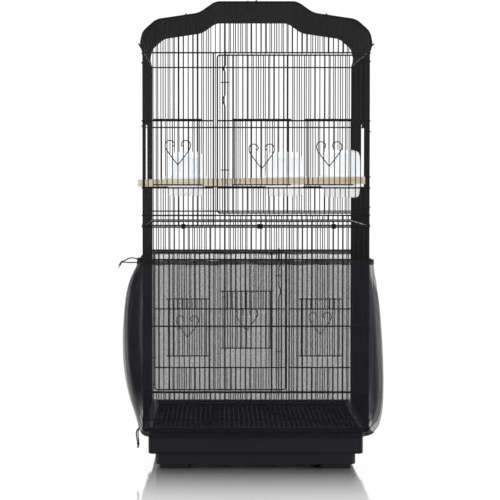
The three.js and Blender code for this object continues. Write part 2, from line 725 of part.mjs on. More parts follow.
// A cup hangs inside a wall by two hooks that pass between the uprights and over the rail.
function feederCup(hookSpots) {
  const rimRise = 43;
  const back = wireSize / 2 + 0.8;
  const bottom = upperRails[1] - cupBelowRail;
  const shell = (inset, [z0, z1], radius, grow = 0) => {
    const solid = prism(cupWidth / 2 - inset + grow, cupDepth / 2 - inset, radius, [z0, z1]);
    return solid.translate([0, back + cupDepth / 2, 0]);
  };
  const body = shell(0, [bottom, bottom + cupHeight], 9)
    .add(shell(0, [bottom + rimRise, bottom + rimRise + 2.5], 9, cupRim))
    .subtract(shell(cupWall, [bottom + cupWall, bottom + cupHeight - cupWall], 7));
  const mouth = block(around(0, cupWidth - 32), [back + cupDepth - 10, back + cupDepth + 5],
    [bottom + rimRise + 2.5, bottom + cupHeight - 14]);
  const hooks = hookSpots.flatMap((u) => {
    const over = [upperRails[1] + railSize / 2 + weldGap, upperRails[1] + railSize / 2 + 3];
    return [
      block(around(u, hookWide), [-railFar - weldGap - 2, back + 1], over),
      block(around(u, hookWide), [-railFar - weldGap - 2, -railFar - weldGap],
        [upperRails[1] - 5, over[1]]),
    ];
  });
  return join([body.subtract(mouth), ...hooks]);
}

// Hooks go through the gaps between uprights nearest to a third of the cup's width either side.
function hangCup(name, wall, middle, uprights) {
  const gaps = uprights.slice(1).map((u, i) => (u + uprights[i]) / 2);
  const nearest = (spot) => gaps.reduce((best, gap) =>
    (Math.abs(gap - spot) < Math.abs(best - spot) ? gap : best));
  const spots = [middle - cupWidth / 3, middle + cupWidth / 3].map((spot) => nearest(spot) - middle);
  const mesh = place(name, toGeometry(feederCup(spots)), milkPlastic, wall.group);
  mesh.position.x = middle;
}

hangCup('left_feeder_cup', walls.back, half - outerCupIn, wallUprights);
hangCup('middle_feeder_cup', walls.back, -innerCupAt, wallUprights);
hangCup('right_feeder_cup', walls.right, nestFlap.middle, sideUprights);

// ---------- mesh skirt ----------

// A closed band of cloth lofted through rings, down the outside and up the inside.
function loft(rings) {
  const around = rings[0].length;
  const positions = rings.flat(2);
  const faces = [];
  for (let ring = 0; ring < rings.length; ring++) {
    const next = (ring + 1) % rings.length;
    for (let i = 0; i < around; i++) {
      const j = (i + 1) % around;
      const [a, b, c, d] = [ring * around + i, ring * around + j, next * around + j,
        next * around + i];
      faces.push(a, b, c, a, c, d);
    }
  }
  const geometry = new THREE.BufferGeometry();
  geometry.setAttribute('position', new THREE.Float32BufferAttribute(positions, 3));
  geometry.setIndex(faces);
  return geometry;
}

// Stand-off of the skirt from the corner wires at each height, from its foot to its head.
const netHead = lowerTier.lintel - 0.6;
const netProfile = [[flangeTop - 14, -5.5], [flangeTop - 4, 6.5], [flangeTop + 14, 14.5],
  [flangeTop + 66, 22], [flangeTop + 156, netBulge], [netHead - 90.6, netBulge],
  [netHead - 45.6, 20], [netHead - 14.6, 9.5], [netHead, 9.5]];
const netBackRoom = 2.5; // extra room for the latch behind and in front

function netRing(z, standOff) {
  const radius = Math.min(20, Math.max(4, standOff));
  return roundedRectangle(half + standOff, halfDeep + standOff + netBackRoom, radius)
    .map(([x, y]) => [x, y, z]);
}

place('skirt_net', loft([
  ...netProfile.map(([z, standOff]) => netRing(z, standOff)),
  ...netProfile.toReversed().map(([z, standOff]) => netRing(z, standOff - netThick)),
]), blackMesh);

// ---------- drawstrings ----------

// Two strands leave the skirt at each place and meet in a knot; their points are set by hand.
const strandRoutes = {
  head_strand_a: [[-239.1, -158, 428], [-243, -158, 431], [-249, -158.5, 433],
    [-256, -159.5, 433], [-263, -160.5, 430.5], [-268.5, -161.5, 427.5]],
  head_strand_b: [[-238.9, -151, 425], [-243, -151.5, 424], [-249, -153, 423.5],
    [-256, -155, 423.5], [-262, -157, 424], [-268, -158.5, 424.8]],
  foot_strand_a: [[-237.9, -160, 84], [-241, -160.5, 82.5], [-243.5, -161, 78],
    [-244, -161.5, 71], [-243, -162, 64], [-241.4, -162.2, 57]],
  foot_strand_b: [[-237.5, -150, 83], [-239.5, -151, 81], [-241, -152.5, 76],
    [-241, -154.5, 69], [-240.2, -156.5, 62], [-239.6, -158.2, 56]],
};
for (const [name, points] of Object.entries(strandRoutes)) {
  place(name, tube(points, cordSize, 9), blackCord);
}

const knotSize = 7;
for (const [name, spot] of [['head_knot', [-273.2, -160.6, 425.2]],
  ['foot_knot', [-240.2, -160.6, 52]]]) {
  const knot = place(name, new THREE.IcosahedronGeometry(knotSize / 2, 1), blackCord);
  knot.position.set(...spot);
}

export default cage;
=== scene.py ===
import math

import bmesh
import bpy
from mathutils import Matrix, Vector, noise
from mathutils.geometry import interpolate_bezier


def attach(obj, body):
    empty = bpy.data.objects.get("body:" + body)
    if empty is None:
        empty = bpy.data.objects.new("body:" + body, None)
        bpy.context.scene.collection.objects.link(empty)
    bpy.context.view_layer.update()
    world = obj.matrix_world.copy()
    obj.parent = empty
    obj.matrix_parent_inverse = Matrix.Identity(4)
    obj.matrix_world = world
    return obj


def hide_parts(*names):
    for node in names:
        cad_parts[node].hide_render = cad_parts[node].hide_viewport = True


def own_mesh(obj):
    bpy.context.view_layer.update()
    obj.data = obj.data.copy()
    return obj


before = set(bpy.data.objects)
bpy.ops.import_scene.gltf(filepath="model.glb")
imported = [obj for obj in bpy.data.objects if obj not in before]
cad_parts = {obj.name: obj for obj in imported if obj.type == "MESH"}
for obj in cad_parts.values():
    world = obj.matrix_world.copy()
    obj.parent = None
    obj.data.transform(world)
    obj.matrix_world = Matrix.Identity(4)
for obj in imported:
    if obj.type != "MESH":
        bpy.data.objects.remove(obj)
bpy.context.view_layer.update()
print("frame loaded")

cameraSet = {"lens": 96.5, "place": (-.077, -2.891, .595), "pitch": 1.5, "shift": (.064, -.0726)}


def makeCamera(settings):
    camera = bpy.data.objects.new("camera", bpy.data.cameras.new("camera"))
    bpy.context.collection.objects.link(camera)
    camera.data.lens = settings["lens"]
    camera.data.shift_x, camera.data.shift_y = settings["shift"]
    camera.location = settings["place"]
    camera.rotation_euler = (math.radians(90 - settings["pitch"]), 0, 0)
    bpy.context.scene.camera = camera


makeCamera(cameraSet)


class Signal:  # a node's output that sums can be written with
    def __init__(self, graph, socket):
        self.graph = graph
        self.socket = socket

    def sum(self, operation, *values):
        return self.graph.node("ShaderNodeMath", {"operation": operation}, dict(enumerate(values)))

    def __add__(self, other):
        return self.sum("ADD", self, other)

    def __sub__(self, other):
        return self.sum("SUBTRACT", self, other)

    def __rsub__(self, other):
        return self.sum("SUBTRACT", other, self)

    def __mul__(self, other):
        return self.sum("MULTIPLY", self, other)

    def __gt__(self, other):
        return self.sum("GREATER_THAN", self, other)

    def wave(self):
        return self.sum("SINE", self)

    def larger(self, other):
        return self.sum("MAXIMUM", self, other)

    __radd__ = __add__
    __rmul__ = __mul__


class Graph:
    def __init__(self, name):
        self.material = bpy.data.materials.new(name)
        self.material.use_nodes = True
        self.tree = self.material.node_tree
        self.tree.nodes.clear()

    def node(self, kind, settings, inputs, output=0):
        made = self.tree.nodes.new(kind)
        for key, value in settings.items():
            setattr(made, key, value)
        for key, value in inputs.items():
            if isinstance(value, Signal):
                self.tree.links.new(value.socket, made.inputs[key])
            else:
                made.inputs[key].default_value = value
        return Signal(self, made.outputs[output])

    def part(self, vector, axis):
        return self.node("ShaderNodeSeparateXYZ", {}, {"Vector": vector}, axis)

    def coords(self, scale=(1, 1, 1), turn=(0, 0, 0)):
        place = self.node("ShaderNodeTexCoord", {}, {}, "Object")
        return self.node("ShaderNodeMapping", {}, {"Vector": place, "Scale": scale, "Rotation": turn})

    def grain(self, where, scale, detail=3, rough=.55):
        return self.node("ShaderNodeTexNoise", {}, {"Vector": where, "Scale": scale, "Detail": detail,
                                                    "Roughness": rough})

    def step(self, value, low, high):
        return self.node("ShaderNodeMapRange", {"interpolation_type": "SMOOTHSTEP"},
                         {"Value": value, "From Min": low, "From Max": high})

    def blend(self, share, first, second):
        return self.node("ShaderNodeMix", {"data_type": "RGBA"},
                         {"Factor": share, 6: (*first, 1) if isinstance(first, tuple) else first,
                          7: (*second, 1) if isinstance(second, tuple) else second}, 2)

    def bump(self, height, depth, strength=1.0):
        return self.node("ShaderNodeBump", {}, {"Height": height, "Distance": depth, "Strength": strength})

    def finish(self, inputs):
        surface = self.node("ShaderNodeBsdfPrincipled", {}, inputs)
        output = self.tree.nodes.new("ShaderNodeOutputMaterial")
        self.tree.links.new(surface.socket, output.inputs["Surface"])
        return self.material


def makeWireLook():
    graph = Graph("powder coat")
    where = graph.coords()
    up = graph.part(graph.node("ShaderNodeNewGeometry", {}, {}, "Normal"), "Z")
    dust = graph.step(up, .3, 1) * graph.step(graph.grain(where, 35), .4, .75) * .5
    tone = graph.blend(graph.grain(where, 12, 2), (.003, .003, .004), (.007, .007, .008))
    return graph.finish({
        "Base Color": graph.blend(dust, tone, (.013, .013, .012)),
        "Roughness": graph.grain(where, 160) * .22 + .3 + dust * .3,
        "Normal": graph.bump(graph.grain(where, 1400, 2), .00004, .5),
        "Specular IOR Level": .1})


def makePlasticLook():
    graph = Graph("moulded black plastic")
    where = graph.coords()
    scuffs = graph.step(graph.grain(graph.coords((9, 9, 240), (0, 0, .3)), 6, 5, .7), .62, .74)
    return graph.finish({
        "Base Color": graph.blend(graph.grain(where, 9) + scuffs * .3, (.004, .004, .006),
                                  (.011, .011, .014)),
        "Roughness": graph.grain(where, 60, 4) * .2 + .26 + scuffs * .16,
        "Specular IOR Level": .15,
        "Normal": graph.bump(graph.grain(where, 2600, 2), .00005, .35)})


def makeWoodLook():
    graph = Graph("pale wood")
    warp = graph.grain(graph.coords(), 14, 3)
    rings = graph.grain(graph.coords((7, 260, 260)), 1.6, 5, .6) + warp * .3
    fibres = graph.grain(graph.coords((30, 1800, 1800)), 1, 3)
    pale = graph.blend(graph.step(rings, .42, .88), (.93, .84, .69), (.76, .63, .47))
    tint = graph.step(graph.grain(graph.coords((5, 20, 20)), 1.3, 2), .5, .75)
    return graph.finish({
        "Base Color": graph.blend(tint * .22, pale, (.50, .28, .12)),
        "Roughness": fibres * .2 + .52,
        "Normal": graph.bump(rings * .6 + fibres * .4, .0003, .5)})


def makeMilkLookWithPaintedGlow():
    graph = Graph("milky plastic with painted glow")
    where = graph.coords()
    flow = graph.grain(graph.coords((1, 1, .35)), 40, 4)
    return graph.finish({
        "Base Color": graph.blend(flow, (.86, .88, .90), (.95, .96, .97)),
        "Roughness": graph.grain(where, 90, 3) * .2 + .2,
        # Painted glow: the cups give off a faint light of their own, though nothing lights them from
        # inside.
        "Emission Color": graph.blend(flow, (.90, .92, .94), (1, 1, 1)),
        "Emission Strength": .22,
        "Alpha": flow * .2 + .36,
        "Normal": graph.bump(graph.grain(where, 60, 3), .0004, .3)})


def makeNetLook(name, pitch, cover, haze, tone):
    # Two sets of slanting threads, in metres of cloth, with some fluff between them.
    graph = Graph(name)
    cloth = graph.node("ShaderNodeUVMap", {}, {})
    along, across = graph.part(cloth, "X"), graph.part(cloth, "Y") * .8
    turns = 2 * math.pi / pitch
    one = ((along + across) * turns).wave()
    other = ((along - across) * turns).wave()
    thread = one.larger(other)
    level = math.cos(math.pi * (1 - math.sqrt(1 - cover)))
    return graph.finish({
        "Base Color": graph.blend(graph.grain(graph.coords(), 300), tone,
                                  tuple(value * 1.8 for value in tone)),
        "Roughness": graph.grain(graph.coords(), 90) * .3 + .55,
        "Alpha": (thread > level) * (1 - haze) + haze,
        "Specular IOR Level": .15,
        "Normal": graph.bump(thread, .0002, .5)})


def makeCordLook():
    graph = Graph("braided cord")
    place = graph.coords()
    along, up = graph.part(place, "X"), graph.part(place, "Z")
    braid = ((along + up) * 5200).wave() * ((along - up) * 5200).wave()
    return graph.finish({
        "Base Color": graph.blend(braid * .5 + .5, (.004, .004, .005), (.016, .016, .018)),
        "Roughness": braid * .1 + .7,
        "Specular IOR Level": .1,
        "Normal": graph.bump(braid, .0002, .7)})


def makeSteelLook():
    graph = Graph("brushed steel")
    where = graph.coords((40, 40, 900))
    marks = graph.grain(where, 1.2, 4)
    return graph.finish({
        "Base Color": graph.blend(marks, (.30, .31, .33), (.48, .49, .50)),
        "Roughness": marks * .25 + .22,
        "Metallic": 1.0,
        "Normal": graph.bump(marks, .00008, .4)})


def makeFloorLook():
    # Shines like a mirror by the cage and less towards the viewer.
    graph = Graph("pale floor")
    where = graph.coords()
    away = graph.part(where, "Y")
    return graph.finish({
        "Base Color": graph.blend(graph.grain(where, 3, 2), (.97, .97, .97), (.99, .99, .99)),
        "Roughness": graph.grain(where, 6, 2) * .03 + .05,
        "Metallic": graph.step(away, -.46, -.1) * .74 + .16,
        "Specular IOR Level": .2,
        "Normal": graph.bump(graph.grain(where, 4, 2), .0004, .1)})


looks = {
    "black_wire": makeWireLook(),
    "black_plastic": makePlasticLook(),
    "pale_wood": makeWoodLook(),
    "milk_plastic": makeMilkLookWithPaintedGlow(),
    "black_mesh": makeNetLook("mesh cloth", .0016, .25, .24, (.008, .008, .011)),
    "black_cord": makeCordLook(),
    "bare_steel": makeSteelLook(),
}
hemLook = makeNetLook("hem cloth", .0009, .5, .3, (.008, .008, .010))
print("materials made")

def rod(bm, start, end, radius, sides=8):  # all shapes are in millimetres until newPiece
    start, end = Vector(start), Vector(end)
    turn = (end - start).to_track_quat("Z", "Y").to_matrix().to_4x4()
    bmesh.ops.create_cone(bm, cap_ends=True, segments=sides, radius1=radius, radius2=radius,
                          depth=(end - start).length,
                          matrix=Matrix.Translation((start + end) / 2) @ turn)


def rounded(points, radius, steps=6):  # the same route with its corners rounded off
    places = [Vector(point) for point in points]
    route = [places[0]]
    for before, here, after in zip(places, places[1:], places[2:]):
        way, on = before - here, after - here
        reach = min(radius, way.length * .49, on.length * .49)
        start, end = here + way.normalized() * reach, here + on.normalized() * reach
        route += interpolate_bezier(start, start.lerp(here, .6), end.lerp(here, .6), end, steps)
    return route + [places[-1]]


def smoothed(points, steps=5):  # a curve that goes through every point
    places = [Vector(point) for point in points]
    padded = [places[0], *places, places[-1]]
    route = []
    for a, b, c, d in zip(padded, padded[1:], padded[2:], padded[3:]):
        route += interpolate_bezier(b, b + (c - a) / 6, c - (d - b) / 6, c, steps)[:-1]
    return route + [places[-1]]


def bentWires(bm, routes, radius, closed=False, detail=2):
    curve = bpy.data.curves.new("bent", "CURVE")
    curve.dimensions = "3D"
    curve.bevel_depth = radius
    curve.bevel_resolution = detail
    curve.use_fill_caps = True
    for route in routes:
        spline = curve.splines.new("POLY")
        spline.points.add(len(route) - 1)
        spline.use_cyclic_u = closed
        for point, place in zip(spline.points, route):
            point.co = (*place, 1)
    holder = bpy.data.objects.new("bent", curve)
    mesh = bpy.data.meshes.new_from_object(holder)
    bm.from_mesh(mesh)
    bpy.data.objects.remove(holder)
    bpy.data.curves.remove(curve)
    bpy.data.meshes.remove(mesh)


def roundedRing(bm, halfWide, halfDeep, radius, height, at=(0, 0), steps=6):
    ring = []
    for turn, (sx, sy) in enumerate(((1, 1), (-1, 1), (-1, -1), (1, -1))):
        for step in range(steps + 1):
            angle = math.pi / 2 * (turn + step / steps)
            ring.append(bm.verts.new((
                at[0] + sx * (halfWide - radius) + radius * math.cos(angle),
                at[1] + sy * (halfDeep - radius) + radius * math.sin(angle), height)))
    return ring


def joinRings(bm, rings):
    for low, high in zip(rings, rings[1:]):
        for i, vert in enumerate(low):
            after = (i + 1) % len(low)
            bm.faces.new((vert, low[after], high[after], high[i]))
    bm.faces.new(rings[0][::-1])
    bm.faces.new(rings[-1])


def block(bm, low, high):
    low, high = Vector(low), Vector(high)
    size = high - low
    bmesh.ops.create_cube(bm, size=1, matrix=Matrix.Translation((low + high) / 2)
                          @ Matrix.Diagonal((*size, 1)))


def newPiece(name, bm, slot, body, nodes=(), place=None, look=None, sharp=40):
    if place:
        bm.transform(place)
    bmesh.ops.recalc_face_normals(bm, faces=bm.faces[:])
    bm.transform(Matrix.Scale(.001, 4))
    mesh = bpy.data.meshes.new(name)
    bm.to_mesh(mesh)
    bm.free()
    mesh.materials.append(look or looks[slot])
    mesh.shade_smooth()
    mesh.set_sharp_from_angle(angle=math.radians(sharp))
    piece = bpy.data.objects.new(name, mesh)
    bpy.context.collection.objects.link(piece)
    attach(piece, body)
    if nodes:
        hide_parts(*nodes)
    return piece


def cutAway(piece, low, high, place=None):
    bm = bmesh.new()
    block(bm, low, high)
    if place:
        bm.transform(place)
    bm.transform(Matrix.Scale(.001, 4))
    mesh = bpy.data.meshes.new("cutter")
    bm.to_mesh(mesh)
    bm.free()
    cutter = bpy.data.objects.new("cutter", mesh)
    bpy.context.collection.objects.link(cutter)
    cut = piece.modifiers.new("cut", "BOOLEAN")
    cut.operation, cut.solver, cut.object = "DIFFERENCE", "EXACT", cutter
    bpy.context.view_layer.update()
    whole = piece.data
    ready = piece.evaluated_get(bpy.context.evaluated_depsgraph_get())
    piece.data = bpy.data.meshes.new_from_object(ready)
    piece.modifiers.remove(cut)
    bpy.data.objects.remove(cutter)
    bpy.data.meshes.remove(mesh)
    bpy.data.meshes.remove(whole)


def soften(piece, width, segments=2):
    bevel = piece.modifiers.new("edges", "BEVEL")
    bevel.width, bevel.segments = width, segments
    bevel.limit_method, bevel.angle_limit = "ANGLE", math.radians(40)
    bevel.harden_normals = True


def dress(node, slot, width, segments=2):
    node.data.materials.clear()
    node.data.materials.append(looks[slot])
    soften(node, width, segments)


# A wall is drawn as the front one is seen: u runs across, minus y is outwards and z is up.
half, deep = 228.5, 178
# The uprights' spacing, the least from one to a small door's hole, and how far a door overlaps its hole.
wirePitch, holeRoom, holeInset = 10.4, 5.5, 9
wire = {"upright": .95, "edge": 1.5, "flap": .95, "bar": 1.25, "heart": .95, "latch": 1.4}
# How far each layer of wires stands from the uprights.
layer = {"rail": -2.3, "flap": -5.0, "bar": -7.1, "heart": -6.8, "latch": -6.5}
tiers = {
    "lower": {"foot": 85.8, "sill": 104.9, "low": 160.8, "high": 295.8, "lintel": 431.2,
              "head": 496.8},
    "upper": {"foot": 500.2, "sill": 520.5, "low": 576.3, "high": 711.9, "lintel": 848.8,
              "head": 848.8},
}
wallPlace = {
    "front": Matrix.Translation((0, -deep, 0)),
    "back": Matrix.Translation((0, deep, 0)) @ Matrix.Rotation(math.pi, 4, "Z"),
    "left": Matrix.Translation((-half, 0, 0)) @ Matrix.Rotation(-math.pi / 2, 4, "Z"),
    "right": Matrix.Translation((half, 0, 0)) @ Matrix.Rotation(math.pi / 2, 4, "Z"),
}
roofSide = ((228.5, 848.8), (233, 865.8), (228, 890.5), (201, 914.5), (114, 927.5), (82, 950.1))
stripEnd, doorFrom, doorTo, sideEnd = -86.4, -78.3, 222, 170.4
flaps = {"strip": (-158, 99.5), "middle": (11.2, 121), "hinge": (147.3, 99.5), "nest": (46, 106)}


def roofHeight(across):
    across = min(abs(across), half)
    for (x0, z0), (x1, z1) in zip(roofSide[1:], roofSide[2:]):
        if x1 <= across <= x0:
            return z0 + (z1 - z0) * (x0 - across) / (x0 - x1)
    return roofSide[-1][1]


def spread(start, end, holes=()):
    count = round((end - start) / wirePitch)
    edges = [edge for hole in holes for edge in hole]
    spots = [start + (end - start) * i / count for i in range(count + 1)]
    return sorted([u for u in spots if all(abs(u - edge) > holeRoom for edge in edges)] + edges)


def holeOf(flap, side=1):
    middle, width = flaps[flap]
    return (side * middle - width / 2 + holeInset, side * middle + width / 2 - holeInset)


def addUprights(bm, spots, tier, foot, head, holes=()):
    for u in spots:
        lean = .3 * noise.noise((u * .31, foot * .01, 3))
        top = head(u) if callable(head) else head
        if any(low < u < high for low, high in holes):
            rod(bm, (u, 0, foot), (u, 0, tier["low"] + 1), wire["upright"])
            rod(bm, (u, 0, tier["high"] - 1), (u, 0, top), wire["upright"])
        else:
            rod(bm, (u, 0, foot), (u + lean, 0, top), wire["upright"])


def addRails(bm, heights, start, end):
    for height in heights:
        rod(bm, (start, layer["rail"], height), (end, layer["rail"], height), wire["edge"])


def plainWall(side, name, holes=()):
    tier = tiers[name]
    end = half if side in ("front", "back") else sideEnd
    bm = bmesh.new()
    top = roofHeight if name == "upper" and side == "back" else tier["head"]
    addUprights(bm, spread(-end, end, holes)[1:-1], tier, tier["foot"], top, holes)
    for u in (-end, end):
        rod(bm, (u, 0, tier["foot"] - 1), (u, 0, tier["head"] + 1), wire["edge"])
    addRails(bm, {tier[key] for key in ("foot", "sill", "low", "high", "lintel", "head")},
             -end - wire["edge"], end + wire["edge"])
    newPiece(f"{name}_{side}_wall", bm, "black_wire", "cage",
             (f"{name}_{side}_wires", f"{name}_{side}_rails"), wallPlace[side])


def doorWall(side, name):
    tier = tiers[name]
    top = roofHeight if name == "upper" else tier["head"]
    bm = bmesh.new()
    holes = [holeOf("strip")]
    addUprights(bm, spread(-half, stripEnd, holes)[1:-1], tier, tier["foot"], top, holes)
    aroundDoor = [u for u in spread(-half, half) if stripEnd + 4 < u < half - 3]
    addUprights(bm, aroundDoor, tier, tier["foot"], tier["sill"])
    addUprights(bm, aroundDoor, tier, tier["lintel"], top)
    for u in (-half, half):
        rod(bm, (u, 0, tier["foot"] - 1), (u, 0, tier["head"] + 1), wire["edge"])
    rod(bm, (stripEnd, 0, tier["foot"]), (stripEnd, 0, tier["head"]), wire["edge"])
    start, end = -half - wire["edge"], half + wire["edge"]
    addRails(bm, {tier[key] for key in ("foot", "sill", "lintel", "head")}, start, end)
    addRails(bm, (tier["low"], tier["high"]), start, stripEnd + 1)
    nodes = [f"{name}_{part}" for part in ("strip_wires", "sill_wires", "lintel_wires",
                                           "hinge_post", f"{side}_rails")]
    newPiece(f"{name}_{side}_wall", bm, "black_wire", "cage", nodes, wallPlace[side])


bigDoorSet = {"gap": 4.9, "bend": 6, "eye": 2.8, "eyeWire": 1.1, "outerEyes": 12, "innerEyes": 22,
              "latchIn": 15.4, "stapleHalf": 7.5, "stapleOut": -9.6, "stapleIn": .4}
# The latch rod's bends, as heights from the lintel and how far out they go.
latchBends = ((-107, 0), (-99, 4), (-92, 4), (-85, 0), (-38, 0), (-34, 3.5), (-30, 3.5), (-26, 0))


def bigDoor(side, name):
    tier, door = tiers[name], bigDoorSet
    foot, head = tier["sill"] + door["gap"], tier["lintel"] - door["gap"]
    holes = [holeOf("middle"), holeOf("hinge")]
    bm = bmesh.new()
    addUprights(bm, spread(doorFrom, doorTo, holes)[1:-1], tier, foot - 1, head + 1, holes)
    y = layer["rail"]
    corners = [(doorFrom, y, foot), (doorTo, y, foot), (doorTo, y, head), (doorFrom, y, head)]
    middle = ((doorFrom + doorTo) / 2, y, foot)
    frameRoute = rounded([middle, *corners[1:], corners[0], middle], door["bend"])
    bentWires(bm, [frameRoute[:-1]], wire["edge"], True)
    addRails(bm, (tier["low"], tier["high"]), doorFrom, doorTo)
    eyes = []
    for height in (foot + door["outerEyes"], tier["low"] + door["innerEyes"],
                   tier["high"] - door["innerEyes"], head - door["outerEyes"]):
        turn = [(half + door["eye"] * math.cos(math.radians(a)),
                 door["eye"] * math.sin(math.radians(a)), height) for a in range(-125, 156, 20)]
        eyes.append([(doorTo - 2, y - .8, height), (doorTo + 2, y - .8, height), *turn])
    bentWires(bm, eyes, door["eyeWire"])
    latchAt = doorFrom + door["latchIn"]
    legs = (latchAt - door["stapleHalf"], latchAt + door["stapleHalf"])
    staples = [rounded([(legs[0], door["stapleIn"], z), (legs[0], door["stapleOut"], z),
                        (legs[1], door["stapleOut"], z), (legs[1], door["stapleIn"], z)], 3)
               for z in (tier["low"] + 36, tier["lintel"] - 60)]
    bentWires(bm, staples, 1.0)
    newPiece(f"{name}_big_door", bm, "black_wire", f"{name}_door",
             (f"{name}_door_wires", f"{name}_door_frame"), wallPlace[side])

    bm = bmesh.new()
    lintel, y = tier["lintel"], layer["latch"]
    points = [(latchAt, y, tier["sill"] - 13),
              *[(latchAt - out, y, lintel + up) for up, out in latchBends],
              (latchAt, y, lintel + 3.7)]
    bentWires(bm, [rounded(points, 2.5, 4)], wire["latch"])
    rod(bm, (latchAt, y, lintel - 27), (latchAt, y, lintel + 3.6), wire["latch"] + .7)
    newPiece(f"{name}_latch", bm, "black_wire", f"{name}_latch", (f"{name}_latch_rod",),
             wallPlace[side])


liftSet = {"low": 6.2, "high": 2.4, "barIn": .5, "prongAt": 11.9, "prongWire": .9, "prongTip": 1.4,
           "wiresIn": 6, "wiresOver": 1.6, "heartWide": 25.5, "heartTall": 49.4}
# One half of a heart from its tip up, as shares of its half width and its height.
heartHalf = ((0, 0), (.55, .36), (.94, .66), (1, .83), (.86, .96), (.62, 1), (.38, .95), (.27, .84),
             (.36, .76), (.45, .80))


def liftDoor(side, name, flap, raised, drop, body, node, mirrored=False):
    tier, lift = tiers[name], liftSet
    middle, width = flaps[flap]
    middle = -middle if mirrored else middle
    start, end = middle - width / 2, middle + width / 2
    bottom, top = tier["low"] + lift["low"] + raised, tier["high"] + lift["high"] + raised
    barStart, barEnd = start + lift["barIn"], end - lift["barIn"]
    bm = bmesh.new()
    for height in (bottom, top):
        rod(bm, (barStart, layer["bar"], height), (barEnd, layer["bar"], height), wire["bar"])
        for u in (start + lift["prongAt"], end - lift["prongAt"]):
            prong = [(u, layer["bar"] + .4, height), (u, lift["prongTip"], height)]
            bentWires(bm, [prong], lift["prongWire"])
    wireFoot, wireHead = bottom - lift["wiresOver"], top + lift["wiresOver"]
    for u in spread(start + lift["wiresIn"], end - lift["wiresIn"]):
        rod(bm, (u, layer["flap"], wireFoot), (u, layer["flap"], wireHead), wire["flap"])
    if drop:
        halves = [[(middle + sign * lift["heartWide"] * u, layer["heart"],
                    top - drop + lift["heartTall"] * z) for u, z in heartHalf] for sign in (-1, 1)]
        bentWires(bm, [smoothed(points) for points in halves], wire["heart"])
    newPiece(f"{node}_wires", bm, "black_wire", body, (node,), wallPlace[side])


# How far each small door is raised at rest, and how far its heart's tip is below its upper bar.
doorWalls = {
    "upper": {"side": "front", "raised": (0, 0, 0), "drops": (91.5, 99, 94.3)},
    "lower": {"side": "back", "raised": (20, 38, 20), "drops": (80.6, 90.7, 88)},
}
nestRaised = 122

plainWall("front", "lower")
plainWall("back", "upper")
for side in ("left", "right"):
    sign = 1 if side == "left" else -1
    plainWall(side, "upper", [holeOf("nest", sign)])
    plainWall(side, "lower")
    liftDoor(side, "upper", "nest", nestRaised, 0, f"{side}_nest", f"{side}_nest_door",
             side == "right")
doorWall("front", "upper")
doorWall("back", "lower")
for name, wall in doorWalls.items():
    bigDoor(wall["side"], name)
    for flap, raised, drop in zip(("strip", "middle", "hinge"), wall["raised"], wall["drops"]):
        liftDoor(wall["side"], name, flap, raised, drop, f"{name}_{flap}_door",
                 f"{name}_{flap}_flap")
print("walls and doors built")


roof = {"foot": 850.5, "wire": 1.0, "edge": 1.4, "rod": 1.5, "bend": 9, "frameY": 181,
        "rodEnd": 184.6, "rodSpots": ((0, 953.4), (-141.5, 926.4), (141.5, 926.4),
                                      (-236.4, 865.8), (236.4, 865.8))}
loop = {"across": -13.3, "high": 972.9, "low": 956.7, "wide": 3.75, "tall": 3.9, "wire": .95}


def roofOutline(y, out, foot):
    # The roof line from one side to the other, moved outwards by a distance.
    side = [(half, foot), *roofSide[1:]]
    points = [*side, *[(-x, z) for x, z in reversed(side)]]
    moved = []
    for i, (x, z) in enumerate(points):
        before, after = points[max(i - 1, 0)], points[min(i + 1, len(points) - 1)]
        normal = Vector((after[1] - before[1], before[0] - after[0])).normalized()
        moved.append((x + normal.x * out, y, z + normal.y * out))
    return rounded(moved, roof["bend"])


def makeRoof():
    bm = bmesh.new()
    ys = spread(-sideEnd, sideEnd)
    bentWires(bm, [roofOutline(y, 0, roof["foot"]) for y in ys], roof["wire"], detail=1)
    bentWires(bm, [roofOutline(y, 0, roof["foot"]) for y in (-deep, deep)], roof["edge"])
    for x in (-half, half):
        rod(bm, (x, -172, roof["foot"]), (x, 172, roof["foot"]), roof["edge"])
    newPiece("roof_arcs", bm, "black_wire", "cage", ("roof_wires",))

    bm = bmesh.new()
    ends = [roofOutline(y, .8, roof["foot"] + 1.5) for y in (-roof["frameY"], roof["frameY"])]
    bentWires(bm, ends, roof["rod"])
    for x, z in roof["rodSpots"]:
        rod(bm, (x, -roof["rodEnd"], z), (x, roof["rodEnd"], z), roof["rod"])
    newPiece("roof_rods", bm, "black_wire", "cage", ("roof_frame",))

    bm = bmesh.new()
    angles = [math.radians(a) for a in range(0, 181, 15)]
    top = [(loop["across"] + loop["wide"] * math.cos(a), 0, loop["high"] + loop["tall"] * math.sin(a))
           for a in angles]
    low = [(x, 0, loop["high"] + loop["low"] - z) for x, _, z in reversed(top)]
    bentWires(bm, [top + low], loop["wire"], True)
    newPiece("roof_loop", bm, "bare_steel", "cage", ("hanging_loop",))


makeRoof()
for name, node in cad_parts.items():
    if "_clip_" in name:
        dress(node, "black_wire", .0004)
print("roof built")


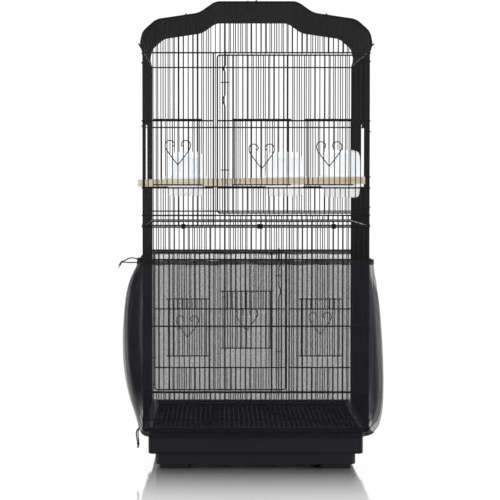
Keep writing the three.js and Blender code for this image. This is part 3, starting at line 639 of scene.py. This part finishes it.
# Each ring is half its width, half its depth, its corner radius and its height.
base = {
    "rings": ((197, 147, 8, 9), (204.9, 154.4, 9, 9), (205.5, 155, 9, 10.5), (205.5, 155, 9, 32),
              (207.5, 157, 9, 33), (217.8, 167.3, 8, 33), (219.5, 169, 8, 34.6), (219.5, 169, 8, 80),
              (229.8, 179.3, 9, 80), (231, 180.5, 9, 81), (231, 180.5, 9, 83), (230, 179.5, 9, 84),
              (219.5, 169, 6.5, 84), (219.5, 169, 6.5, 86.4), (218.9, 168.4, 6, 87),
              (217.1, 166.6, 5, 87), (216.5, 166, 4, 86.4), (216.5, 166, 4, 83.5),
              (213, 162.5, 4, 83), (213, 162.5, 4, 37), (211.5, 161, 3, 35.5)),
    "mouth": ((-213, -200, 35.5), (213, -100, 66.7)),
}
tray = {
    "rings": ((205, 160.5, 2, 36.1), (208, 163.5, 4, 38), (208, 163.5, 4, 61.5),
              (205.8, 161.3, 3, 61.5), (205.8, 161.3, 3, 40), (203, 158.5, 2, 38.3)),
    "middle": (0, -3),
    "front": ((-212.4, -169, 36.1), (212.4, -165.5, 66.1)),
}
grate = {"spaces": 40, "wide": 419, "deepHalf": 159.5, "height": 73.5, "wire": .95,
         "crossHalf": 211, "crossWire": .8, "crossSpots": ((-159, 0), (-53, .7), (53, .7), (159, 0))}


def makeBase():
    bm = bmesh.new()
    joinRings(bm, [roundedRing(bm, *ring) for ring in base["rings"]])
    housing = newPiece("plastic_base", bm, "black_plastic", "cage", ("base_housing",))
    cutAway(housing, *base["mouth"])
    soften(housing, .0005)


def makeTray():
    bm = bmesh.new()
    joinRings(bm, [roundedRing(bm, *ring, tray["middle"]) for ring in tray["rings"]])
    block(bm, *tray["front"])
    soften(newPiece("husk_tray", bm, "black_plastic", "tray", ("seed_tray",)), .0006)


def makeGrate():
    bm = bmesh.new()
    for i in range(grate["spaces"] + 1):
        x = -grate["wide"] / 2 + grate["wide"] * i / grate["spaces"]
        rod(bm, (x, -grate["deepHalf"], grate["height"]), (x, grate["deepHalf"], grate["height"]),
            grate["wire"])
    for y, up in grate["crossSpots"]:
        height = grate["height"] + up
        rod(bm, (-grate["crossHalf"], y, height), (grate["crossHalf"], y, height),
            grate["crossWire"])
    newPiece("floor_grate", bm, "black_wire", "cage", ("bottom_grate",))


makeBase()
makeTray()
makeGrate()
for name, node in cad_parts.items():
    if name.startswith("foot_") and name.split("_")[1] in ("front", "back"):
        dress(node, "black_plastic", .001)
dress(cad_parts["perch"], "pale_wood", .0011, 3)
print("base, tray and perch built")


# The rings' heights are above the cup's floor, and the outer ones go up over the hood.
cup = {
    "floor": 555.3,
    "middle": (0, 45.2),
    "outer": ((33, 30, 12, 0), (37.5, 34.5, 15, 1.6), (39.5, 36.5, 15, 6), (43.5, 41, 14, 41),
              (46, 43, 13, 43), (50, 43, 13, 43), (50, 43, 13, 45.5), (42.5, 41.5, 13, 45.5),
              (41.5, 40.5, 13, 48), (38.5, 38, 14, 87), (36.5, 36, 15, 94), (31, 31, 14, 98.2),
              (22, 22, 12, 100)),
    "inner": ((31, 28, 11, 2), (36, 33, 13, 4), (41.3, 38.8, 12, 41), (39.8, 38.8, 11, 47),
              (36.8, 36.3, 12, 86), (34, 33.5, 13, 93), (21, 21, 11, 98)),
    "mouth": ((-29, 70, 46.4), (29, 95, 85)),
}
hook = {"half": 2.5, "out": -7.1, "in": 6, "thick": 2, "top": 25.5, "bottom": 16, "arm": 2.5}


def makeCup(name, side, u, hooks):
    body = name.replace("_feeder", "")
    place = wallPlace[side] @ Matrix.Translation((u, 0, cup["floor"]))
    bm = bmesh.new()
    for rings in (cup["outer"], cup["inner"]):
        joinRings(bm, [roundedRing(bm, *ring, cup["middle"]) for ring in rings])
    shell = newPiece(name, bm, "milk_plastic", body, (name,), place)
    cutAway(shell, *cup["mouth"], place)
    shell.data.set_sharp_from_angle(angle=math.radians(35))

    bm = bmesh.new()
    for spot in hooks:
        near, far = spot - hook["half"], spot + hook["half"]
        block(bm, (near, hook["out"], hook["top"] - hook["arm"]), (far, hook["in"], hook["top"]))
        block(bm, (near, hook["out"], hook["bottom"]), (far, hook["out"] + hook["thick"], hook["top"]))
    clasp = newPiece(f"{name}_hooks", bm, "milk_plastic", body, (), place)
    soften(clasp, .0005)


makeCup("left_feeder_cup", "back", 148, (-28.6, 33.6))
makeCup("middle_feeder_cup", "back", -72, (-31, 31))
makeCup("right_feeder_cup", "right", -46, (-31, 31))
print("cups built")

# Height, and how far the cloth's mean surface stands off the walls on the left and the right.
netProfile = ((70, -5.5, -5.5), (74, -1, 2), (80, 5, 10), (89, 9, 17), (98, 12, 21), (125, 19, 26),
              (150, 26, 27.5), (190, 33.5, 27.5), (240, 38, 26), (300, 37.5, 23), (350, 33.5, 19.5),
              (380, 28, 15.5), (402, 20, 11.5), (416, 12.5, 9.8), (430.6, 9.5, 9.5))
netRoom = 2.5
cloth = (1.98, .41)
tuftSpot, tuftReach = (-238, -150), 34
pleatSet = {"folds": 104, "fine": 208, "pulls": 31, "sidePull": 11.5, "slant": 2.4}


def profileAt(share):
    # Height and stand-off on the left and right, at a share of the way up the skirt.
    place = share * (len(netProfile) - 1)
    i = min(int(place), len(netProfile) - 2)
    rows = [netProfile[max(0, min(j, len(netProfile) - 1))] for j in range(i - 1, i + 3)]
    t = place - i
    values = []
    for a, b, c, d in zip(*rows):
        values.append(b + t * ((c - a) / 2 + t * ((a - 2.5 * b + 2 * c - .5 * d)
                      + t * (1.5 * (b - c) + (d - a) / 2))))
    return values


def roundPoint(turn, standOff):
    # A point and its outward normal, at a share of the way round a rounded rectangle.
    radius = min(22, max(6, standOff + 4))
    wide, long = half + standOff - radius, deep + standOff + netRoom - radius
    arc = math.pi / 2 * radius
    lengths = (2 * long, arc, 2 * wide, arc) * 2
    corners = ((wide, -long), (wide, long), (wide, long), (-wide, long), (-wide, long),
               (-wide, -long), (-wide, -long), (wide, -long))
    place = turn % 1 * sum(lengths)
    for i, length in enumerate(lengths):
        if place <= length:
            break
        place -= length
    heading = math.pi / 2 * (i // 2)
    corner = Vector(corners[i])
    if i % 2:
        heading += place / radius
        normal = Vector((math.cos(heading), math.sin(heading)))
        return corner + normal * radius, normal
    normal = Vector((math.cos(heading), math.sin(heading)))
    return corner + normal * radius + Vector((-normal.y, normal.x)) * place, normal


def pleats(turn, share, sideways):
    # How far the cloth stands out of its mean surface.
    across, along = math.cos(turn * 6.283), math.sin(turn * 6.283)
    near = noise.noise((across * 9, along * 9, 2 + share * .7))
    wide = noise.noise((across * 3, along * 3, 7 + share * 1.7))
    slant = noise.noise((across * 14, along * 14, share * 3.1))
    gather = max(0, 1 - share / .25) ** 2 + .6 * max(0, (share - .8) / .2) ** 2
    fold = math.sin(2 * math.pi * pleatSet["folds"] * turn + 5 * near + 2 * slant * share)
    fine = math.sin(2 * math.pi * pleatSet["fine"] * turn + 9 * wide + 3 * share)
    size = (.7 + 1.5 * gather) * (.75 + .8 * near)
    belly = math.sin(math.pi * share)
    drawn = math.sin(2 * math.pi * pleatSet["pulls"] * turn + 7 * wide + 5 * share) - .75
    drawn *= (1 + pleatSet["sidePull"] * sideways) * belly ** .6
    return fold * size + fine * .5 * gather + drawn + slant * pleatSet["slant"] * belly


def makeNet(name, columns, rows, low, high, lift, look):
    bm = bmesh.new()
    uv = bm.loops.layers.uv.new("UVMap")
    bmesh.ops.create_grid(bm, x_segments=columns, y_segments=rows, size=.5, calc_uvs=True)
    for face in bm.faces:
        for loop in face.loops:
            along, up = loop.vert.co.x + .5, loop.vert.co.y + .5
            loop[uv].uv = (along * cloth[0], (low + (high - low) * up) * cloth[1])
    for vert in bm.verts:
        turn, share = vert.co.x + .5, low + (high - low) * (vert.co.y + .5)
        height, onLeft, onRight = profileAt(share)
        facing = roundPoint(turn, 20)[1].x
        standOff = onLeft + (onRight - onLeft) * (facing + 1) / 2
        place, normal = roundPoint(turn, standOff)
        out = pleats(turn, share, abs(facing)) + lift
        near = max(0, 1 - (place - Vector(tuftSpot)).length / tuftReach)
        tuft = near * max(0, (share - .86) / .14)
        out = max(out, min(-2.2, 10 - standOff)) + 4 * tuft
        wavy = 3 * noise.noise((*(place * .03), 5)) * max(0, (share - .85) / .15)
        vert.co = (*(place + normal * out), height + 2.2 * tuft + wavy)
    bmesh.ops.remove_doubles(bm, verts=bm.verts, dist=.02)
    return newPiece(name, bm, "black_mesh", "cage", (), None, look, 180)


net = makeNet("net_skirt", 1040, 56, 0, 1, 0, looks["black_mesh"])
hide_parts("skirt_net")
topHem = makeNet("net_top_hem", 1040, 5, .95, 1, .5, hemLook)
footHem = makeNet("net_foot_hem", 1040, 6, 0, .14, .5, hemLook)
for piece in (topHem, footHem):
    thick = piece.modifiers.new("double cloth", "SOLIDIFY")
    thick.thickness, thick.offset = .0007, 1
print("skirt built")

strands = {
    "head_strand_a": ((-239.1, -158, 428), (-243, -158, 431), (-249, -158.5, 433),
                      (-256, -159.5, 433), (-263, -160.5, 430.5), (-268.5, -161.5, 427.5)),
    "head_strand_b": ((-238.9, -151, 425), (-243, -151.5, 424), (-249, -153, 423.5),
                      (-256, -155, 423.5), (-262, -157, 424), (-268, -158.5, 424.8)),
    "foot_strand_a": ((-237.9, -160, 84), (-241, -160.5, 82.5), (-243.5, -161, 78),
                      (-244, -161.5, 71), (-243, -162, 64), (-241.4, -162.2, 57)),
    "foot_strand_b": ((-237.5, -150, 83), (-239.5, -151, 81), (-241, -152.5, 76),
                      (-241, -154.5, 69), (-240.2, -156.5, 62), (-239.6, -158.2, 56)),
}
knots = {"head": (-272.2, -160.4, 425.4), "foot": (-240.4, -160.4, 52.6)}
knotTails = {
    "head": (((0, 0, 0), (-3.5, .5, -2), (-6, 1, -6), (-7.2, 1.2, -12)),
             ((0, 0, 0), (-2.5, -1, -3), (-4, -1.8, -7.5))),
    "foot": (((0, 0, 0), (-.8, -.6, -4), (-2, -1, -9)), ((0, 0, 0), (1, .6, -5), (.6, 1, -8))),
}


def foldDown(piece):
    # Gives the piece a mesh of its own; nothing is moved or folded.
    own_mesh(piece)


def makeKnot(name, centre, tails):
    # A trefoil knot with its two tails.
    bm = bmesh.new()
    turns = []
    for i in range(60):
        a = 2 * math.pi * i / 60
        turns.append(Vector((math.sin(a) + 2 * math.sin(2 * a), math.cos(a) - 2 * math.cos(2 * a),
                             -1.3 * math.sin(3 * a))) * .85 + Vector(centre))
    bentWires(bm, [turns], 1.0, True, 3)
    bentWires(bm, [smoothed([Vector(centre) + Vector(point) for point in tail]) for tail in tails],
              .95, detail=3)
    return newPiece(f"{name}_cord_knot", bm, "black_cord", "cage", (f"{name}_knot",), sharp=60)


def makeStrands():
    made = {end: makeKnot(end, knots[end], knotTails[end]) for end in knots}
    for name, points in strands.items():
        end = name.split("_")[0]
        route = smoothed([*points, Vector(points[-1]).lerp(Vector(knots[end]), .5)])
        bm = bmesh.new()
        bentWires(bm, [route], 1.2, detail=3)
        cord = newPiece(f"{name}_cord", bm, "black_cord", "cage", (name,), sharp=60)
        length = sum((b - a).length for a, b in zip(route, route[1:])) * .001
        if end == "head":
            foldDown(cord)
        print(name, round(length, 4))
    foldDown(made["head"])


makeStrands()
for piece in (net, topHem):
    foldDown(piece)
print("drawstrings built")


studio = {
    "floorHalf": 9, "below": -.0008, "aim": (0, 0, .45),
    "litBySky": .55, "seenSky": 1.04,
    "lamps": (("left box", (-2.2, -1.4, 1.5), (.7, 1.8), 22),
              ("right box", (2.2, -1.2, 1.4), (.7, 1.8), 20),
              ("top box", (0, -.4, 2.9), (2.6, 1.8), 34)),
}


def makeFloor():
    bm = bmesh.new()
    bmesh.ops.create_grid(bm, x_segments=1, y_segments=1, size=studio["floorHalf"])
    mesh = bpy.data.meshes.new("floor")
    bm.to_mesh(mesh)
    bm.free()
    floor = bpy.data.objects.new("floor", mesh)
    bpy.context.collection.objects.link(floor)
    floor.location = (0, 0, studio["below"])
    mesh.materials.append(makeFloorLook())


def makeLight():
    # The sky lights matt surfaces less than it shines in glossy ones and behind the cage.
    world = bpy.data.worlds.new("studio")
    bpy.context.scene.world = world
    world.use_nodes = True
    nodes, links = world.node_tree.nodes, world.node_tree.links
    background = nodes["Background"]
    background.inputs["Color"].default_value = (1, 1, 1, 1)
    path = nodes.new("ShaderNodeLightPath")
    level = nodes.new("ShaderNodeMapRange")
    level.inputs["From Min"].default_value = 1
    level.inputs["From Max"].default_value = 0
    level.inputs["To Min"].default_value = studio["litBySky"]
    level.inputs["To Max"].default_value = studio["seenSky"]
    links.new(path.outputs["Is Diffuse Ray"], level.inputs["Value"])
    links.new(level.outputs["Result"], background.inputs["Strength"])

    for name, place, size, power in studio["lamps"]:
        lamp = bpy.data.lights.new(name, "AREA")
        lamp.shape, lamp.size, lamp.size_y, lamp.energy = "RECTANGLE", *size, power
        light = bpy.data.objects.new(name, lamp)
        bpy.context.collection.objects.link(light)
        light.location = place
        aim = Vector(studio["aim"]) - Vector(place)
        light.rotation_euler = aim.to_track_quat("-Z", "Y").to_euler()
    bpy.context.scene.view_settings.view_transform = "Standard"


makeFloor()
makeLight()
print("studio set")
